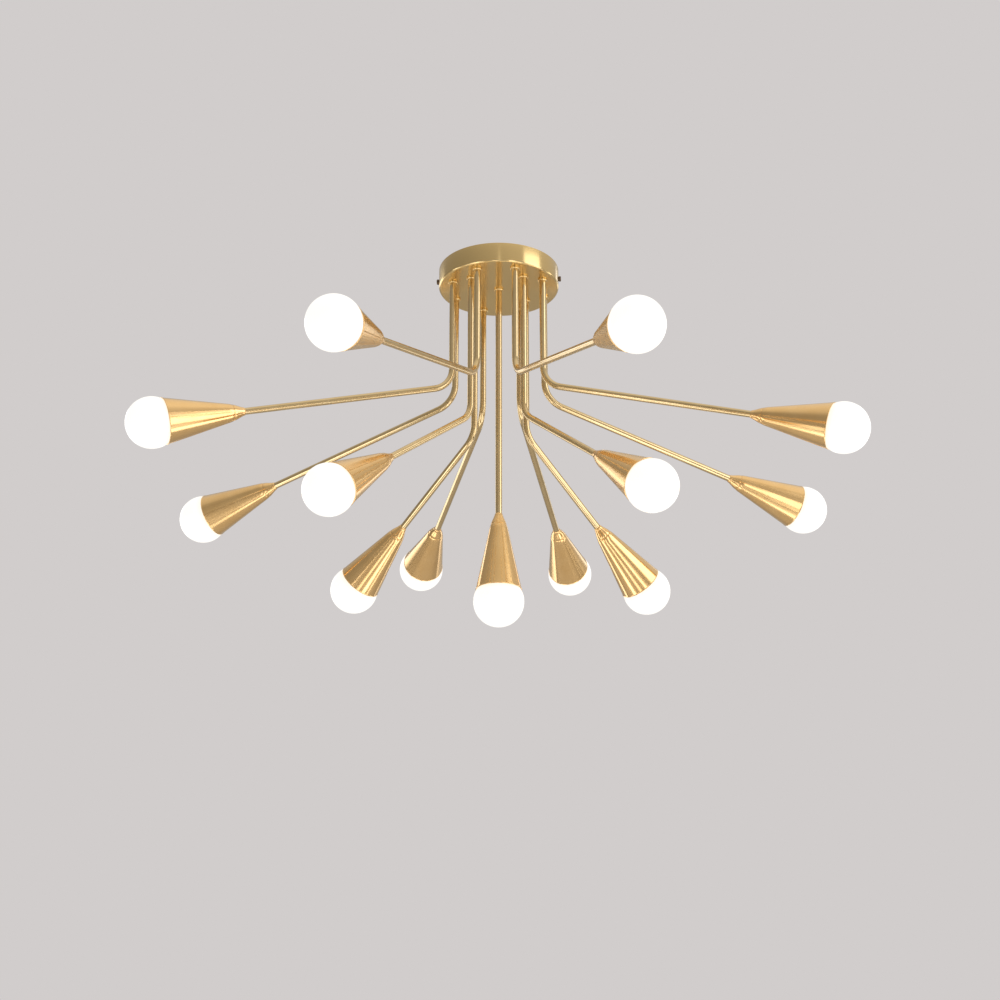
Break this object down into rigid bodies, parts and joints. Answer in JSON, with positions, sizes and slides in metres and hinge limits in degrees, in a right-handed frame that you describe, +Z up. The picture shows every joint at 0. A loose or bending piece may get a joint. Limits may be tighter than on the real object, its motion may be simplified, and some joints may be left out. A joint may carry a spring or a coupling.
{
  "type": "multi arm ceiling chandelier",
  "caption": "Semi-flush ceiling chandelier: a round brass canopy with bent brass tubes that end in conical shades with E14 holders and opal globe bulbs.",
  "frame": {"origin": "middle of the cable entry in the bracket's ceiling face, which is the middle of the canopy's open side", "axes": "+Z up into the ceiling, +X through the two side screws, the lamp hangs along -Z"},
  "size_m": [0.8417, 0.8562, 0.4615],
  "materials": {
    "canopy_brass": "brushed round the band, satin lacquer",
    "satin_brass": "satin",
    "shade_brass": "spun and brushed, satin lacquer",
    "dark_brass": "aged, satin",
    "zinc_steel": "zinc plated",
    "holder_plastic": "matte",
    "wire_sleeve": "smooth",
    "opal_glass": "opal, lit"
  },
  "bodies": {
    "canopy": {"canopy_cover": "canopy_brass", "mounting_bracket": "zinc_steel", "arm_collars": "satin_brass", "arm_locknuts": "zinc_steel", "terminal_block": "holder_plastic", "canopy_wiring": "wire_sleeve", "centre_stem": "satin_brass", "shade_centre": "shade_brass", "lampholder_centre": "holder_plastic"},
    "arm_1": {"arm_tube_1": "satin_brass", "shade_1": "shade_brass", "lampholder_1": "holder_plastic"},
    "arm_2": {"arm_tube_2": "satin_brass", "shade_2": "shade_brass", "lampholder_2": "holder_plastic"},
    "arm_3": {"arm_tube_3": "satin_brass", "shade_3": "shade_brass", "lampholder_3": "holder_plastic"},
    "arm_4": {"arm_tube_4": "satin_brass", "shade_4": "shade_brass", "lampholder_4": "holder_plastic"},
    "arm_5": {"arm_tube_5": "satin_brass", "shade_5": "shade_brass", "lampholder_5": "holder_plastic"},
    "arm_6": {"arm_tube_6": "satin_brass", "shade_6": "shade_brass", "lampholder_6": "holder_plastic"},
    "arm_7": {"arm_tube_7": "satin_brass", "shade_7": "shade_brass", "lampholder_7": "holder_plastic"},
    "arm_8": {"arm_tube_8": "satin_brass", "shade_8": "shade_brass", "lampholder_8": "holder_plastic"},
    "arm_9": {"arm_tube_9": "satin_brass", "shade_9": "shade_brass", "lampholder_9": "holder_plastic"},
    "arm_10": {"arm_tube_10": "satin_brass", "shade_10": "shade_brass", "lampholder_10": "holder_plastic"},
    "arm_11": {"arm_tube_11": "satin_brass", "shade_11": "shade_brass", "lampholder_11": "holder_plastic"},
    "arm_12": {"arm_tube_12": "satin_brass", "shade_12": "shade_brass", "lampholder_12": "holder_plastic"},
    "lamp_1": {"bulb_1": "opal_glass"},
    "lamp_2": {"bulb_2": "opal_glass"},
    "lamp_3": {"bulb_3": "opal_glass"},
    "lamp_4": {"bulb_4": "opal_glass"},
    "lamp_5": {"bulb_5": "opal_glass"},
    "lamp_6": {"bulb_6": "opal_glass"},
    "lamp_7": {"bulb_7": "opal_glass"},
    "lamp_8": {"bulb_8": "opal_glass"},
    "lamp_9": {"bulb_9": "opal_glass"},
    "lamp_10": {"bulb_10": "opal_glass"},
    "lamp_11": {"bulb_11": "opal_glass"},
    "lamp_12": {"bulb_12": "opal_glass"},
    "lamp_centre": {"bulb_centre": "opal_glass"},
    "screw_left": {"side_screw_left": "dark_brass"},
    "screw_right": {"side_screw_right": "dark_brass"}
  },
  "joints": [
    {"name": "arm_swivel_1", "type": "hinge", "parent": "canopy", "child": "arm_1", "pos_m": [0.05497, 0.02277, -0.025], "axis": [0, 0, 1], "range_deg": [-10, 10]},
    {"name": "arm_swivel_2", "type": "hinge", "parent": "canopy", "child": "arm_2", "pos_m": [0.02277, 0.05497, -0.025], "axis": [0, 0, 1], "range_deg": [-10, 10]},
    {"name": "arm_swivel_3", "type": "hinge", "parent": "canopy", "child": "arm_3", "pos_m": [-0.02277, 0.05497, -0.025], "axis": [0, 0, 1], "range_deg": [-10, 10]},
    {"name": "arm_swivel_4", "type": "hinge", "parent": "canopy", "child": "arm_4", "pos_m": [-0.05497, 0.02277, -0.025], "axis": [0, 0, 1], "range_deg": [-10, 10]},
    {"name": "arm_swivel_5", "type": "hinge", "parent": "canopy", "child": "arm_5", "pos_m": [-0.05497, -0.02277, -0.025], "axis": [0, 0, 1], "range_deg": [-10, 10]},
    {"name": "arm_swivel_6", "type": "hinge", "parent": "canopy", "child": "arm_6", "pos_m": [-0.02277, -0.05497, -0.025], "axis": [0, 0, 1], "range_deg": [-10, 10]},
    {"name": "arm_swivel_7", "type": "hinge", "parent": "canopy", "child": "arm_7", "pos_m": [0.02277, -0.05497, -0.025], "axis": [0, 0, 1], "range_deg": [-10, 10]},
    {"name": "arm_swivel_8", "type": "hinge", "parent": "canopy", "child": "arm_8", "pos_m": [0.05497, -0.02277, -0.025], "axis": [0, 0, 1], "range_deg": [-10, 10]},
    {"name": "arm_swivel_9", "type": "hinge", "parent": "canopy", "child": "arm_9", "pos_m": [0.03182, 0.03182, -0.025], "axis": [0, 0, 1], "range_deg": [-10, 10]},
    {"name": "arm_swivel_10", "type": "hinge", "parent": "canopy", "child": "arm_10", "pos_m": [-0.03182, 0.03182, -0.025], "axis": [0, 0, 1], "range_deg": [-10, 10]},
    {"name": "arm_swivel_11", "type": "hinge", "parent": "canopy", "child": "arm_11", "pos_m": [-0.03182, -0.03182, -0.025], "axis": [0, 0, 1], "range_deg": [-10, 10]},
    {"name": "arm_swivel_12", "type": "hinge", "parent": "canopy", "child": "arm_12", "pos_m": [0.03182, -0.03182, -0.025], "axis": [0, 0, 1], "range_deg": [-10, 10]},
    {"name": "bulb_unscrew_1", "type": "slide", "parent": "arm_1", "child": "lamp_1", "axis": [0.8738, 0.4168, -0.2504], "range_m": [0, 0.06]},
    {"name": "bulb_unscrew_2", "type": "slide", "parent": "arm_2", "child": "lamp_2", "axis": [0.1431, 0.9575, -0.2504], "range_m": [0, 0.06]},
    {"name": "bulb_unscrew_3", "type": "slide", "parent": "arm_3", "child": "lamp_3", "axis": [-0.2941, 0.9329, -0.2079], "range_m": [0, 0.06]},
    {"name": "bulb_unscrew_4", "type": "slide", "parent": "arm_4", "child": "lamp_4", "axis": [-0.8996, 0.3453, -0.2672], "range_m": [0, 0.06]},
    {"name": "bulb_unscrew_5", "type": "slide", "parent": "arm_5", "child": "lamp_5", "axis": [-0.8903, -0.3688, -0.2672], "range_m": [0, 0.06]},
    {"name": "bulb_unscrew_6", "type": "slide", "parent": "arm_6", "child": "lamp_6", "axis": [-0.3304, -0.9077, -0.2588], "range_m": [0, 0.06]},
    {"name": "bulb_unscrew_7", "type": "slide", "parent": "arm_7", "child": "lamp_7", "axis": [0.3756, -0.8848, -0.2756], "range_m": [0, 0.06]},
    {"name": "bulb_unscrew_8", "type": "slide", "parent": "arm_8", "child": "lamp_8", "axis": [0.9261, -0.2482, -0.284], "range_m": [0, 0.06]},
    {"name": "bulb_unscrew_9", "type": "slide", "parent": "arm_9", "child": "lamp_9", "axis": [0.5552, 0.5954, -0.5807], "range_m": [0, 0.06]},
    {"name": "bulb_unscrew_10", "type": "slide", "parent": "arm_10", "child": "lamp_10", "axis": [-0.622, 0.5407, -0.5664], "range_m": [0, 0.06]},
    {"name": "bulb_unscrew_11", "type": "slide", "parent": "arm_11", "child": "lamp_11", "axis": [-0.5517, -0.5917, -0.5878], "range_m": [0, 0.06]},
    {"name": "bulb_unscrew_12", "type": "slide", "parent": "arm_12", "child": "lamp_12", "axis": [0.5584, -0.5782, -0.5948], "range_m": [0, 0.06]},
    {"name": "bulb_unscrew_centre", "type": "slide", "parent": "canopy", "child": "lamp_centre", "axis": [0, 0, -1], "range_m": [0, 0.06]},
    {"name": "side_screw_left_out", "type": "slide", "parent": "canopy", "child": "screw_left", "axis": [-1, 0, 0], "range_m": [0, 0.008]},
    {"name": "side_screw_right_out", "type": "slide", "parent": "canopy", "child": "screw_right", "axis": [1, 0, 0], "range_m": [0, 0.008]}
  ]
}
